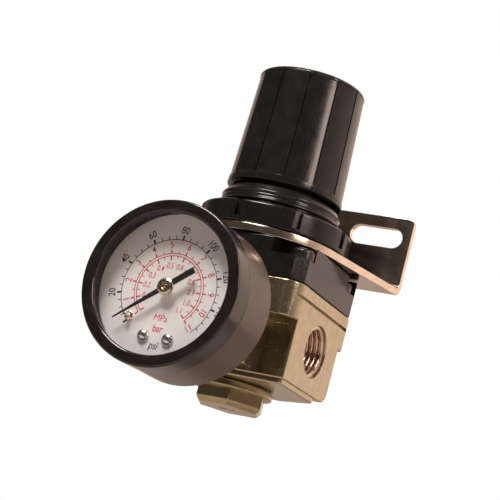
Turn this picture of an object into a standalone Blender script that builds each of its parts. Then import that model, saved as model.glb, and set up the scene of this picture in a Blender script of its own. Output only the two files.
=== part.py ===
"""Air pressure regulator with a dial gauge, a push-lock knob and an angle bracket.

Metres, +Z up. The origin is on the bracket's rear face, midway between its two slots.
Pieces are drawn about the point where the port axis (X) meets the knob axis (Z), in millimetres,
and hang from one empty that carries them to that place. The gauge looks along -Y.
"""
import math

import bmesh
import bpy
from mathutils import Matrix

MM = 0.001

# driving dimensions, in millimetres from the point where the port and knob axes cross
GAP = 0.3                    # between pieces that touch
BODY_HALF = 20.0             # half of the width across the ports
FLANGE_FRONT, FLANGE_BACK = -20.0, 17.9
FLANGE_TOP, FLANGE_BOTTOM = 13.5, 4.3
PAD_FRONT, PAD_BACK, PAD_BOTTOM = -15.6, 14.4, -10.8
SLAB_BOTTOM = -12.2
POCKET_INNER, POCKET_MIDDLE, POCKET_OUTER = 10.6, 15.5, 19.6    # the pocket's wall slants from middle to outer
POCKET_DEEP, POCKET_STEP = 9.8, -8.4     # how near the middle it reaches, and the step in its outer corner
PORT_RADIUS = 5.9            # tapping size of a G 1/4 port
GAUGE_BORE_RADIUS = 4.3      # tapping size of a 1/8 inch port
BOSS_RADIUS, BOSS_FRONT, BOSS_BACK = 9.0, -23.0, 18.0
SCREW_X, SCREW_Y = 16.4, 14.0

BONNET_HALF = 19.5
BONNET_BOTTOM, BONNET_TOP = 13.8, 23.8
NECK_RADIUS, NECK_TOP = 16.5, 38.3
TOWER_RADIUS, TOWER_TOP = 12.6, 46.0
FRONT_POCKET = 9.4           # where the front screw pockets begin, from the middle

PLATE_BOTTOM, PLATE_THICK = 24.1, 2.0
PLATE_REAR, PLATE_TOP = 29.0, 46.0
PLATE_HALF = 27.5
SLOT_X, SLOT_Z, SLOT_LENGTH, SLOT_WIDTH = 17.3, 40.0, 15.4, 5.5
NUT_RADIUS, NUT_BOTTOM, NUT_TOP = 20.4, 26.4, 32.2

KNOB_BOTTOM, KNOB_TOP = 39.5, 71.6
KNOB_FOOT_RADIUS, KNOB_HEAD_RADIUS = 15.6, 14.5
KNOB_RIM = 1.7               # height of the plain rim under the grip grooves
GRIP_GROOVES = 12
GRIP_START = -69.5           # degrees from +X to the first groove

SPRING_RADIUS, SPRING_WIRE, SPRING_TURNS = 8.5, 1.1, 6
SPRING_BOTTOM, SPRING_TOP = 14.6, 36.3

GAUGE_BACK, GAUGE_SEAM, GAUGE_FRONT = 32.5, 46.9, 53.4   # distances along -Y
CASE_RADIUS, BEZEL_RADIUS, WINDOW_RADIUS = 20.3, 20.5, 17.7
DIAL_FACE = 47.7
POINTER_ANGLE = -129.0       # clockwise from up, seen from the front, at no pressure

PINION_TEETH, SECTOR_TEETH, TOOTH_MODULE = 10, 72, 0.25
SECTOR_DROP = TOOTH_MODULE * (PINION_TEETH + SECTOR_TEETH) / 2   # pinion axis to sector axis

FINE, ROUND, PLAIN, SMALL, TINY = 40, 32, 20, 12, 8     # facets around a full turn

GUIDE_COLLAR_RADIUS, GUIDE_HEX_FLATS = 10.5, 17.0
GUIDE_BOTTOM = -18.9


def clear_scene():
    for obj in list(bpy.data.objects):
        bpy.data.objects.remove(obj, do_unlink=True)


clear_scene()
parts = bpy.data.collections.new("air_pressure_regulator")
cutters = bpy.data.collections.new("cutters")
bpy.context.scene.collection.children.link(parts)
bpy.context.scene.collection.children.link(cutters)
root = bpy.data.objects.new("regulator", None)
root.location = (0, -PLATE_REAR * MM, -SLOT_Z * MM)
parts.objects.link(root)


def material(name, colour, roughness, metallic):
    made = bpy.data.materials.new(name)
    made.use_nodes = True
    shader = made.node_tree.nodes["Principled BSDF"]
    shader.inputs["Base Color"].default_value = (*colour, 1)
    shader.inputs["Roughness"].default_value = roughness
    shader.inputs["Metallic"].default_value = metallic
    return made


CAST = ("cast_alloy", (0.56, 0.47, 0.34), 0.45, 0.6)
BLACK = ("black_resin", (0.025, 0.022, 0.021), 0.25, 0.0)
ZINC = ("zinc_plate", (0.62, 0.52, 0.38), 0.28, 1.0)
STEEL = ("steel", (0.55, 0.55, 0.56), 0.3, 1.0)
DARK_STEEL = ("dark_steel", (0.12, 0.11, 0.11), 0.4, 1.0)
BRASS = ("brass", (0.72, 0.53, 0.25), 0.3, 1.0)
OLIVE = ("guide_resin", (0.36, 0.29, 0.16), 0.4, 0.3)
RUBBER = ("rubber", (0.03, 0.03, 0.03), 0.7, 0.0)
CASE = ("case_enamel", (0.07, 0.05, 0.045), 0.35, 0.2)
DIAL = ("dial_enamel", (0.72, 0.69, 0.68), 0.5, 0.0)
LENS = ("lens", (0.9, 0.92, 0.92), 0.05, 0.0)
finishes = {}


def finish(spec):
    if spec[0] not in finishes:
        finishes[spec[0]] = material(*spec)
    return finishes[spec[0]]


def place(name, mesh, spec, at=(0, 0, 0), turn=(0, 0, 0)):
    """An object of the assembly, or a cutter where spec is None. Angles are in degrees."""
    obj = bpy.data.objects.new(name, mesh)
    obj.location = [c * MM for c in at]
    obj.rotation_euler = [math.radians(a) for a in turn]
    obj.parent = root
    if spec is None:
        cutters.objects.link(obj)
        obj.hide_render = True
        obj.display_type = "WIRE"
    else:
        parts.objects.link(obj)
        mesh.materials.append(finish(spec))
    return obj


def to_mesh(name, bm):
    bmesh.ops.recalc_face_normals(bm, faces=bm.faces)
    mesh = bpy.data.meshes.new(name)
    bm.to_mesh(mesh)
    bm.free()
    mesh.shade_smooth()
    mesh.set_sharp_from_angle(angle=math.radians(30))
    return mesh


def box(name, low, high, spec=None, at=(0, 0, 0)):
    bm = bmesh.new()
    bmesh.ops.create_cube(bm, size=1)
    size = [(b - a) * MM for a, b in zip(low, high)]
    middle = [(a + b) / 2 * MM for a, b in zip(low, high)]
    bmesh.ops.scale(bm, vec=size, verts=bm.verts)
    bmesh.ops.translate(bm, vec=middle, verts=bm.verts)
    return place(name, to_mesh(name, bm), spec, at)


def rod(name, radius, low, high, spec=None, axis="Z", at=(0, 0, 0), sides=PLAIN, top=None):
    """A cylinder, or a cone frustum where top gives the radius at the high end."""
    bm = bmesh.new()
    upper = radius if top is None else top
    bmesh.ops.create_cone(bm, cap_ends=True, segments=sides, radius1=radius * MM,
                          radius2=upper * MM, depth=(high - low) * MM)
    bmesh.ops.translate(bm, vec=(0, 0, (high + low) / 2 * MM), verts=bm.verts)
    if axis == "X":
        bmesh.ops.rotate(bm, matrix=Matrix.Rotation(math.pi / 2, 3, "Y"), verts=bm.verts)
    if axis == "-Y":
        bmesh.ops.rotate(bm, matrix=Matrix.Rotation(math.pi / 2, 3, "X"), verts=bm.verts)
    return place(name, to_mesh(name, bm), spec, at)


def prism(name, outline, low, high, spec=None, at=(0, 0, 0), turn=(0, 0, 0)):
    """A flat outline in X and Y, raised from low to high along Z."""
    bm = bmesh.new()
    face = bm.faces.new([bm.verts.new((x * MM, y * MM, low * MM)) for x, y in outline])
    raised = bmesh.ops.extrude_face_region(bm, geom=[face])["geom"]
    top = [v for v in raised if isinstance(v, bmesh.types.BMVert)]
    bmesh.ops.translate(bm, vec=(0, 0, (high - low) * MM), verts=top)
    return place(name, to_mesh(name, bm), spec, at, turn)


def turned(name, profile, spec=None, at=(0, 0, 0), forward=False, steps=PLAIN, ring=False):
    """A profile of (radius, height) turned about Z, or about -Y where forward is set.

    The profile runs down the outer side, and closes on itself where ring is set.
    """
    bm = bmesh.new()
    verts = [bm.verts.new((r * MM, 0, z * MM)) for r, z in profile]
    for first, second in zip(verts, verts[1:]):
        bm.edges.new((first, second))
    if ring:
        bm.edges.new((verts[-1], verts[0]))
    mesh = bpy.data.meshes.new(name)
    bm.to_mesh(mesh)
    bm.free()
    obj = place(name, mesh, spec, at, (90, 0, 0) if forward else (0, 0, 0))
    screw = obj.modifiers.new("turn", "SCREW")
    screw.steps = screw.render_steps = steps
    screw.use_merge_vertices = True
    screw.merge_threshold = 1e-6
    screw.use_smooth_shade = True
    return obj


def boolean(obj, operation, others):
    for other in others:
        step = obj.modifiers.new(operation.lower(), "BOOLEAN")
        step.operation = operation
        step.solver = "EXACT"
        step.object = other
    return obj


def cut(obj, *others):
    return boolean(obj, "DIFFERENCE", others)


def fuse(obj, *others):
    return boolean(obj, "UNION", others)


def arc(cx, cy, radius, start, end, count):
    """Points on an arc, angles in degrees from +X."""
    angles = [math.radians(start + (end - start) * i / (count - 1)) for i in range(count)]
    return [(cx + radius * math.cos(a), cy + radius * math.sin(a)) for a in angles]


def rounded_rectangle(x0, x1, y0, y1, front, back, count=5):
    """An outline with one corner radius at y0 and another at y1."""
    return (arc(x1 - front, y0 + front, front, -90, 0, count)
            + arc(x1 - back, y1 - back, back, 0, 90, count)
            + arc(x0 + back, y1 - back, back, 90, 180, count)
            + arc(x0 + front, y0 + front, front, 180, 270, count))


def clock(radius, angle):
    """X and Z of a point at a clockwise angle from up, seen from the front."""
    a = math.radians(angle)
    return radius * math.sin(a), radius * math.cos(a)


def coil(name, radius, wire, turns, low, high, spec):
    """A compression spring of round wire. Its first and last turns are closed."""
    per_turn = 9
    low, high = low + wire, high - wire
    closed = 2.15 * wire
    pitch = (high - low - 2 * closed) / (turns - 2)
    points = []
    for i in range(turns * per_turn + 1):
        turn = i / per_turn
        active = min(max(turn - 1, 0), turns - 2)
        ends = turn - active
        angle = math.tau * turn
        points.append((radius * math.cos(angle), radius * math.sin(angle),
                       low + ends * closed + active * pitch))
    return wire_object(name, points, wire, spec)


def wire_object(name, points, wire, spec):
    """A round bar along points, capped at both ends."""
    curve = bpy.data.curves.new(name, "CURVE")
    curve.dimensions = "3D"
    curve.bevel_depth = wire * MM
    curve.bevel_resolution = 2
    curve.use_fill_caps = True
    spline = curve.splines.new("POLY")
    spline.points.add(len(points) - 1)
    for point, (x, y, z) in zip(spline.points, points):
        point.co = (x * MM, y * MM, z * MM, 1)
    return place(name, curve, spec)


def regulator_body():
    """The die-cast block: port pads, top flange, gauge bosses, chambers and bores."""
    flange = rounded_rectangle(-BODY_HALF, BODY_HALF, FLANGE_FRONT, FLANGE_BACK, 5, 1.8)
    body = prism("body", flange, FLANGE_BOTTOM, FLANGE_TOP, CAST)
    pads = rounded_rectangle(-BODY_HALF, BODY_HALF, PAD_FRONT, PAD_BACK, 0.4, 0.4, 2)
    lower = prism("lower_block", pads, PAD_BOTTOM, FLANGE_BOTTOM + 0.5)
    for side in (-1, 1):
        for face, edge in ((-1, PAD_FRONT), (1, PAD_BACK)):
            pocket = [(side * x, face * y) for x, y in pocket_outline(abs(edge), POCKET_OUTER)]
            lowest = [(side * x, face * y) for x, y in pocket_outline(abs(edge), POCKET_OUTER - 1.5)]
            cut(lower, prism("pocket", pocket, POCKET_STEP, FLANGE_BOTTOM),
                prism("pocket_foot", lowest, PAD_BOTTOM + 0.3, POCKET_STEP + 0.1))
    foot = [(-19.6, -15.2), (19.6, -15.2), (19.6, 7.8), (8.0, 14.2), (-8.0, 14.2), (-19.6, 7.8)]
    slab = prism("foot_slab", foot, SLAB_BOTTOM, PAD_BOTTOM + 0.4)
    boss = rod("gauge_boss", BOSS_RADIUS, -BOSS_BACK, -BOSS_FRONT, axis="-Y", sides=ROUND)
    pad = box("gauge_pad", (-POCKET_INNER, FLANGE_FRONT + 0.4, 1 - POCKET_INNER),
              (POCKET_INNER, PAD_FRONT + 1, FLANGE_BOTTOM + 1))
    fuse(body, lower, slab, boss, pad)
    for side in (-1, 1):
        port = rod("port", PORT_RADIUS, 9.0, 21.0, axis="X", sides=PLAIN)
        lead_in = rod("port_lead_in", PORT_RADIUS, 19.4, 20.2, axis="X", sides=PLAIN, top=6.8)
        for cutter in (port, lead_in):
            cutter.scale.x = side
        groove = box("flange_groove", (19.4, FLANGE_FRONT - 1, 9.9), (21, FLANGE_BACK - 1, 10.5))
        groove.scale.x = side
        cut(body, port, lead_in, groove)
    cut(body,
        rod("diaphragm_recess", 15.6, 11.2, 14.0, sides=ROUND),
        rod("outlet_chamber", 12.5, 8.4, 11.4, sides=ROUND),
        rod("outlet_well", 6.5, 1.5, 8.6),
        rod("seat_orifice", 3.6, -0.7, 1.7, sides=SMALL),
        rod("valve_chamber", 8.0, -13.0, -0.5, sides=PLAIN),
        rod("inlet_passage", 3.0, -10.0, -4.0, axis="X", at=(0, 0, -4.0), sides=SMALL),
        rod("outlet_passage", 2.4, 4.0, 10.0, axis="X", at=(0, 0, 3.6), sides=SMALL),
        rod("gauge_bore", GAUGE_BORE_RADIUS, 9.6, 24.0, axis="-Y"),
        rod("rear_bore", GAUGE_BORE_RADIUS, -19.0, -9.6, axis="-Y"),
        rod("gauge_passage", 1.1, -10.0, 10.0, axis="-Y", at=(0, 0, 3.0), sides=TINY))
    for x, y in screw_places():
        cut(body, rod("screw_hole", 2.05, 5.6, 14.0, at=(x, y, 0), sides=SMALL))
    return body


def pocket_outline(edge, outer):
    """One pocket seen from above, for positive X and Y."""
    return [(POCKET_INNER, POCKET_DEEP), (POCKET_MIDDLE, POCKET_DEEP), (outer, edge - 0.1),
            (outer, edge + 1), (POCKET_INNER, edge + 1)]


def screw_places():
    return [(x, y) for x in (-SCREW_X, SCREW_X) for y in (-SCREW_Y, SCREW_Y)]


def bonnet():
    """The black cover: a square flange, a threaded neck for the panel nut and a tower for the knob."""
    h, c, rear = BONNET_HALF, 3.0, 2.2
    outline = [(h, c - h), (h, h - rear), (h - rear, h), (rear - h, h),
               (-h, h - rear), (-h, c - h), (c - h, -h), (h - c, -h)]
    cover = prism("bonnet", outline, BONNET_BOTTOM, BONNET_TOP, BLACK)
    neck = turned("neck", [(0, TOWER_TOP), (TOWER_RADIUS - 0.6, TOWER_TOP), (TOWER_RADIUS, TOWER_TOP - 0.6),
                           (TOWER_RADIUS, NECK_TOP), (NECK_RADIUS - 1.5, NECK_TOP),
                           (NECK_RADIUS, NECK_TOP - 2), (NECK_RADIUS, BONNET_TOP - 1), (0, BONNET_TOP - 1)],
                  steps=ROUND)
    lip = rod("diaphragm_lip", 15.2, 13.1, BONNET_BOTTOM + 0.5, sides=ROUND)
    fuse(cover, neck, lip)
    cut(cover,
        rod("spring_well", 12.3, 12.0, BONNET_TOP, sides=ROUND),
        rod("nut_well", 10.6, BONNET_TOP - 1, 43.0, sides=ROUND),
        rod("spindle_hole", 3.3, 42.0, 47.0, sides=SMALL))
    for side in (-1, 1):
        low_x, high_x = sorted((side * 9.9, side * 11.2))
        fuse(cover, box("anti_turn_rib", (low_x, -1.2, BONNET_TOP - 0.5), (high_x, 1.2, 42.0)))
    for x, y in screw_places():
        edge = math.copysign(BONNET_HALF + 1, x)
        inner = x if y > 0 else math.copysign(FRONT_POCKET, x)
        low_x, high_x = sorted((inner, edge))
        back = y + 3.1 if y > 0 else y
        cut(cover,
            rod("screw_hole", 2.05, 13.0, 21.0, at=(x, y, 0), sides=SMALL),
            rod("head_pocket", 3.2, 19.8, 24.5, at=(x, y, 0), sides=SMALL),
            box("pocket_mouth", (low_x, back - 6.2, 19.8), (high_x, back, 24.5)))
    vent = rod("vent", 0.8, -21.0, -10.0, axis="-Y", at=(7.0, 0, 18.5), sides=TINY)
    return cut(cover, vent)


def bonnet_screws():
    for number, (x, y) in enumerate(screw_places(), 1):
        profile = [(0, 22.9), (1.9, 22.9), (2.9, 22.3), (2.9, 20.1), (1.75, 20.1), (1.75, 6.4), (1.2, 5.9),
                   (0, 5.9)]
        screw = turned(f"bonnet_screw_{number}", profile, DARK_STEEL, (x, y, 0), steps=SMALL)
        for turn in (0, 90):
            cross = box("cross_slot", (-1.5, -0.35, 21.9), (1.5, 0.35, 23.4), at=(x, y, 0))
            cross.rotation_euler.z = math.radians(45 + turn)
            cut(screw, cross)


def mounting_bracket():
    """One bent strip: a round-nosed plate around the neck and an upright plate with two slots."""
    inner, outer = 1.2, 1.2 + PLATE_THICK
    y1, z0 = PLATE_REAR, PLATE_BOTTOM
    section = (arc(y1 - outer, z0 + outer, outer, -90, 0, 7)
               + [(y1, PLATE_TOP), (y1 - PLATE_THICK, PLATE_TOP)]
               + arc(y1 - outer, z0 + outer, inner, 0, -90, 7)
               + [(-24, z0 + PLATE_THICK), (-24, z0)])
    strip = prism("mounting_bracket", section, -PLATE_HALF, PLATE_HALF, ZINC, turn=(90, 0, 90))
    nose = 20.3
    taper = math.degrees(math.atan2(PLATE_HALF - 19.8, PLATE_REAR - 3 + 5.1))
    plan = (arc(0, 0, nose, -180 + taper, -taper, 33)
            + [(PLATE_HALF, PLATE_REAR - 3), (PLATE_HALF, PLATE_REAR + 1),
               (-PLATE_HALF, PLATE_REAR + 1), (-PLATE_HALF, PLATE_REAR - 3)])
    boolean(strip, "INTERSECT", [prism("bracket_plan", plan, PLATE_BOTTOM - 1, PLATE_TOP + 1)])
    face = rounded_rectangle(-PLATE_HALF, PLATE_HALF, -PLATE_TOP, 0, 1.5, 0.01)
    front = prism("bracket_face", face, -30, 30, turn=(-90, 0, 0))
    boolean(strip, "INTERSECT", [front])
    cut(strip, rod("neck_hole", NECK_RADIUS + GAP, 20, 30, sides=ROUND))
    half = (SLOT_LENGTH - SLOT_WIDTH) / 2
    for side in (-1, 1):
        x = side * SLOT_X
        ends = (arc(x + half, -SLOT_Z, SLOT_WIDTH / 2, -90, 90, 9)
                + arc(x - half, -SLOT_Z, SLOT_WIDTH / 2, 90, 270, 9))
        cut(strip, prism("slot", ends, 20, 35, turn=(-90, 0, 0)))
    return strip


def setting_nut():
    r, inside = NUT_RADIUS, NECK_RADIUS + GAP
    nut = turned("setting_nut", [(r - 0.9, NUT_TOP), (r - 0.2, NUT_TOP - 0.3), (r, NUT_TOP - 1.0),
                                 (r, NUT_BOTTOM + 0.5), (r - 0.5, NUT_BOTTOM), (inside, NUT_BOTTOM),
                                 (inside, NUT_TOP)], BLACK, steps=ROUND, ring=True)
    for k in range(8):
        notch = box("nut_notch", (r - 1.3, -1.1, NUT_BOTTOM + 1.1), (r + 2, 1.1, NUT_TOP + 1))
        notch.rotation_euler.z = math.radians(45 * k - 5)
        cut(nut, notch)
    return nut


def knob():
    """A deep cap with narrow grip grooves, a plain rim and a hub that slides on the spindle's hexagon."""
    foot, head, thick = KNOB_FOOT_RADIUS, KNOB_HEAD_RADIUS, 1.7
    top, bottom = KNOB_TOP, KNOB_BOTTOM
    profile = [(0, top), (head - 1.2, top), (head - 0.35, top - 0.35), (head, top - 1.2),
               (foot, bottom), (foot - thick, bottom), (head - thick, top - 3.5),
               (5.2, top - 3.5), (5.2, 50), (0, 50)]
    cap = turned("knob", profile, BLACK, steps=FINE)
    cut(cap, prism("hub_hexagon", arc(0, 0, 3.55, 0, 300, 6), 49, 66))
    slope = math.degrees(math.atan2(foot - head, top - 1.2 - bottom))
    for k in range(GRIP_GROOVES):
        turn = math.radians(GRIP_START + 360 / GRIP_GROOVES * k)
        groove = box("grip_groove", (-0.55, -0.35, bottom + KNOB_RIM), (2, 0.35, top + 2))
        groove.location = (foot * math.cos(turn) * MM, foot * math.sin(turn) * MM, 0)
        groove.rotation_euler.z = turn
        lean_about_foot(groove, slope, bottom)
        cut(cap, groove)
    return cap


def lean_about_foot(obj, degrees, height):
    """Leans a cutter inwards about its foot, so that it follows the knob's taper."""
    matrix = (Matrix.Translation((0, 0, height * MM)) @ Matrix.Rotation(-math.radians(degrees), 4, "Y")
              @ Matrix.Translation((0, 0, -height * MM)))
    obj.data.transform(matrix)


def adjusting_parts():
    """Spindle, its thrust washer, the nut that it drives, and the spring that the nut loads."""
    profile = [(0, 63.5), (2.5, 63.5), (3.0, 63.0), (3.0, 42.0), (5.4, 42.0), (5.4, 40.9),
               (3.0, 40.9), (3.0, 25.6), (2.4, 25.0), (0, 25.0)]
    screw = turned("adjusting_screw", profile, STEEL)
    boolean(screw, "INTERSECT", [
        fuse(prism("drive_hexagon", arc(0, 0, 3.2, 0, 300, 6), 46.8, 64),
             rod("plain_length", 6, 24, 47))])
    turned("thrust_washer", [(6.2, 42.7), (6.2, 42.3), (3.3, 42.3), (3.3, 42.7)], BRASS, ring=True)
    profile = [(10.2, 40.3), (10.2, 36.6), (5.8, 36.6), (5.8, 35.2), (3.3, 35.2), (3.3, 40.3)]
    nut = turned("adjusting_nut", profile, BRASS, ring=True)
    for side in (-1, 1):
        low_x, high_x = sorted((side * 9.4, side * 11))
        cut(nut, box("rib_slot", (low_x, -1.6, 34), (high_x, 1.6, 42)))
    coil("regulating_spring", SPRING_RADIUS, SPRING_WIRE, SPRING_TURNS, SPRING_BOTTOM, SPRING_TOP, STEEL)


def diaphragm_parts():
    """The rubber diaphragm, the plate that the spring bears on, and the relief stud through both."""
    turned("diaphragm", [(15.3, 12.8), (15.3, 11.5), (14.0, 11.5), (13.4, 11.8), (2.8, 11.8), (2.8, 12.6),
                         (13.4, 12.6), (14.0, 12.8)], RUBBER, ring=True, steps=ROUND)
    turned("diaphragm_plate", [(6.5, 15.4), (7.0, 14.3), (10.6, 14.3), (11.2, 13.9), (11.2, 12.9),
                               (2.8, 12.9), (2.8, 15.4)], ZINC, ring=True)
    turned("diaphragm_stud", [(3.6, 16.3), (3.6, 15.7), (2.4, 15.6), (2.4, 11.5), (9.0, 11.5), (9.0, 10.3),
                              (8.4, 9.8), (0.9, 9.8), (0.9, 16.3)], BRASS, ring=True)


def valve_parts():
    """Poppet with its rubber face and spring, and the hexagon-headed guide that closes their chamber."""
    profile = [(0, 9.4), (0.9, 9.4), (1.5, 8.9), (1.5, -2.2), (5.4, -2.2), (5.4, -4.2), (2.6, -4.6),
               (1.5, -4.6), (1.5, -12.2), (0, -12.2)]
    turned("valve_poppet", profile, BRASS)
    profile = [(4.9, -0.8), (5.2, -1.1), (5.2, -1.9), (1.8, -1.9), (1.8, -0.8)]
    turned("valve_seal", profile, RUBBER, ring=True)
    coil("valve_spring", 3.0, 0.35, 5, -11.2, -4.9, STEEL)
    collar, top, foot = GUIDE_COLLAR_RADIUS, -12.5, GUIDE_BOTTOM
    profile = [(0, -14.2), (1.8, -14.2), (1.8, -13.0), (2.6, -13.0), (2.6, -11.9), (1.8, -11.9),
               (1.8, -11.5), (4.2, -11.5), (4.2, -7.0), (7.1, -7.0), (7.6, -7.5), (7.6, -9.6),
               (6.4, -9.6), (6.4, -11.2), (7.6, -11.2), (7.6, top), (collar - 0.3, top),
               (collar, top - 0.4), (collar, -14.2), (collar - 0.4, -14.5), (0, -14.5)]
    guide = turned("valve_guide", profile, OLIVE)
    corner = GUIDE_HEX_FLATS / math.sqrt(3)
    head = turned("guide_hexagon", [(0, -14.0), (corner, -14.0), (corner, foot + 1.2), (corner - 1.2, foot),
                                    (0, foot)], steps=6)
    head.rotation_euler.z = math.radians(-68)
    fuse(guide, head)
    cut(guide, rod("foot_dimple", 1.4, foot - 0.1, foot + 0.6, sides=SMALL, top=2.2))
    ring_seal("guide_o_ring", 7.2, 0.65, -10.4)
    ring_seal("stem_o_ring", 2.08, 0.42, -12.45)
    plug = turned("rear_port_plug", [(0, -9.9), (4.0, -9.9), (4.0, -16.6), (3.5, -17.1), (0, -17.1)], BRASS,
                  forward=True)
    cut(plug, prism("key_socket", arc(0, 0, 2.9, 0, 300, 6), 13, 18, turn=(-90, 0, 0)))


def ring_seal(name, ring, section, z):
    profile = [(ring + section * math.cos(a), z + section * math.sin(a))
               for a in (math.tau * -k / 8 for k in range(8))]
    turned(name, profile, RUBBER, ring=True)


def gauge_shell():
    """Case, front ring, window and its gasket, all turned about the gauge axis."""
    r, inner = CASE_RADIUS, CASE_RADIUS - 1.2
    back = GAUGE_BACK
    profile = [(r, GAUGE_SEAM - GAP), (r, back + 2.2), (r - 0.6, back + 0.7), (r - 2.2, back), (5.6, back),
               (5.6, back + 1.5), (inner - 1.5, back + 1.5), (inner, back + 3), (inner, GAUGE_SEAM - GAP)]
    turned("gauge_case", profile, CASE, forward=True, ring=True, steps=FINE)
    b, front, window = BEZEL_RADIUS, GAUGE_FRONT, WINDOW_RADIUS
    profile = [(b - 1.1, front), (b - 0.3, front - 0.35), (b, front - 1.1), (b, GAUGE_SEAM + 0.6),
               (b - 0.4, GAUGE_SEAM), (19.0, GAUGE_SEAM), (19.0, front - 1.2), (window, front - 1.2),
               (window, front - 0.5), (window + 0.8, front)]
    turned("gauge_bezel", profile, BLACK, forward=True, ring=True, steps=FINE)
    profile = [(0, 51.9), (18.7, 51.9), (18.7, 50.9), (0, 50.9)]
    turned("gauge_lens", profile, LENS, forward=True, steps=ROUND)
    profile = [(18.7, 50.6), (18.7, 48.0), (17.9, 48.0), (17.9, 50.6)]
    turned("lens_gasket", profile, RUBBER, forward=True, ring=True, steps=ROUND)


def gauge_dial():
    dial = turned("gauge_dial", [(18.6, DIAL_FACE), (18.6, DIAL_FACE - 0.5), (0.9, DIAL_FACE - 0.5),
                                 (0.9, DIAL_FACE)], DIAL, forward=True, ring=True, steps=ROUND)
    for side, name in ((-1, "dial_screw_left"), (1, "dial_screw_right")):
        x, z = side * 3.3, -12.1
        head = DIAL_FACE + GAP
        cut(dial, rod("dial_screw_hole", 1.0, 46, 49, axis="-Y", at=(x, 0, z), sides=SMALL))
        profile = [(0, head + 0.9), (0.8, head + 0.75), (1.4, head + 0.3), (1.55, head), (0.75, head),
                   (0.75, 45.2), (0, 45.2)]
        screw = turned(name, profile, STEEL, (x, 0, z), forward=True, steps=SMALL)
        cut(screw, box("screw_slot", (-2, -head - 1.4, -0.18), (2, -head - 0.45, 0.18), at=(x, 0, z)))
    x, z = clock(11.7, -133.8)
    cut(dial, rod("stop_pin_hole", 0.6, 46, 49, axis="-Y", at=(x, 0, z), sides=TINY))
    turned("stop_pin", [(0, 50.1), (0.3, 50.1), (0.45, 49.9), (0.45, 46.5), (0, 46.5)], BRASS, (x, 0, z),
           forward=True, steps=TINY)
    return dial


def pointer():
    """A tapered blade with a broad tail, drawn pointing up and then turned to zero pressure."""
    outline = [(-0.8, -8.1), (0.8, -8.1), (0.7, 0.0), (0.15, 15.1), (-0.15, 15.1), (-0.7, 0.0)]
    blade = prism("pointer", outline, 49.5, 49.9, BLACK)
    hub = rod("pointer_hub", 2.0, 49.2, 50.4, sides=PLAIN)
    fuse(blade, hub)
    for obj in (blade, hub):
        obj.rotation_euler = (math.radians(90), math.radians(POINTER_ANGLE), 0)
    return blade


def gear(name, teeth, module, low, high, spec, first=0, count=None, at=(0, 0, 0), hub=None):
    """A spur gear about -Y. Where count is given, the other teeth are cut away down to the hub."""
    pitch = module * teeth / 2
    outer, inner = pitch + 0.85 * module, pitch - 1.05 * module
    outline = []
    for k in range(teeth):
        centre = 360 / teeth * k
        toothed = count is None or first <= (centre + 180) % 360 - 180 <= first + count
        flank = ((-0.30, inner), (-0.13, outer), (0.13, outer), (0.30, inner)) if toothed else ((0, hub),)
        outline += [clock(radius, centre + offset * 360 / teeth) for offset, radius in flank]
    return prism(name, outline, low, high, spec, at, (90, 0, 0))


def gauge_movement():
    """What turns the tube's motion into the pointer's: pinion, sector, link and the two plates."""
    pinion = turned("pinion_shaft", [(0, 49.0), (0.5, 49.0), (0.5, 37.6), (0, 37.6)], STEEL,
                    forward=True, steps=TINY)
    teeth = gear("pinion_teeth", PINION_TEETH, TOOTH_MODULE, 40.2, 41.8, None)
    teeth.rotation_euler.y = math.radians(180 / PINION_TEETH)
    fuse(pinion, teeth)
    drop = (0, 0, -SECTOR_DROP)
    sector = gear("sector_gear", SECTOR_TEETH, TOOTH_MODULE, 40.6, 41.4, BRASS,
                  first=-6, count=50, at=drop, hub=2.2)
    outline = [clock(1.6, 10), clock(6.0, 91), clock(6.0, 109), clock(1.6, 190)]
    tail = prism("sector_tail", outline, 40.6, 41.4, at=drop, turn=(90, 0, 0))
    shaft = rod("sector_shaft", 0.6, 37.6, 43.8, axis="-Y", at=drop, sides=TINY)
    fuse(sector, tail, shaft)
    tail_x, tail_z = clock(5.0, 100)
    pin_x, pin_z = tail_x, tail_z - SECTOR_DROP
    tip_x, tip_z = clock(14.5, 95)
    outline = link_outline(tip_x - pin_x, tip_z - pin_z)
    link = prism("link", outline, 42.0, 42.6, STEEL, (pin_x, 0, pin_z), (90, 0, 0))
    fuse(sector, rod("link_pin", 0.4, 41.2, 43.0, axis="-Y", at=(pin_x, 0, pin_z), sides=TINY))
    cut(link, rod("link_eye", 0.55, 41.5, 43, axis="-Y", at=(pin_x, 0, pin_z), sides=TINY))
    for name, low, high in (("back_movement_plate", 37.4, 38.2), ("front_movement_plate", 43.2, 44.0)):
        outline = rounded_rectangle(-4.4, 4.4, -12.2, 3.2, 0.8, 0.8)
        plate = prism(name, outline, low, high, BRASS, turn=(90, 0, 0))
        cut(plate,
            rod("pinion_hole", 0.65, 37, 45, axis="-Y", sides=TINY),
            rod("sector_hole", 0.75, 37, 45, axis="-Y", at=drop, sides=TINY))
        if name.startswith("back"):
            for x, z in ((-3.4, 2.2), (3.4, 2.2)):
                fuse(plate, rod("post", 0.7, 38.0, 42.9, axis="-Y", at=(x, 0, z), sides=TINY))
    return sector


def link_outline(dx, dz):
    """A slender bar from the sector's tail pin towards the tube's tip, with a round eye at each end."""
    length, heading = math.hypot(dx, dz), math.degrees(math.atan2(dz, dx))
    near_eye = arc(0, 0, 1.0, heading + 35, heading + 325, 12)
    return near_eye + arc(dx, dz, 1.0, heading - 145, heading + 145, 12)


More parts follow.
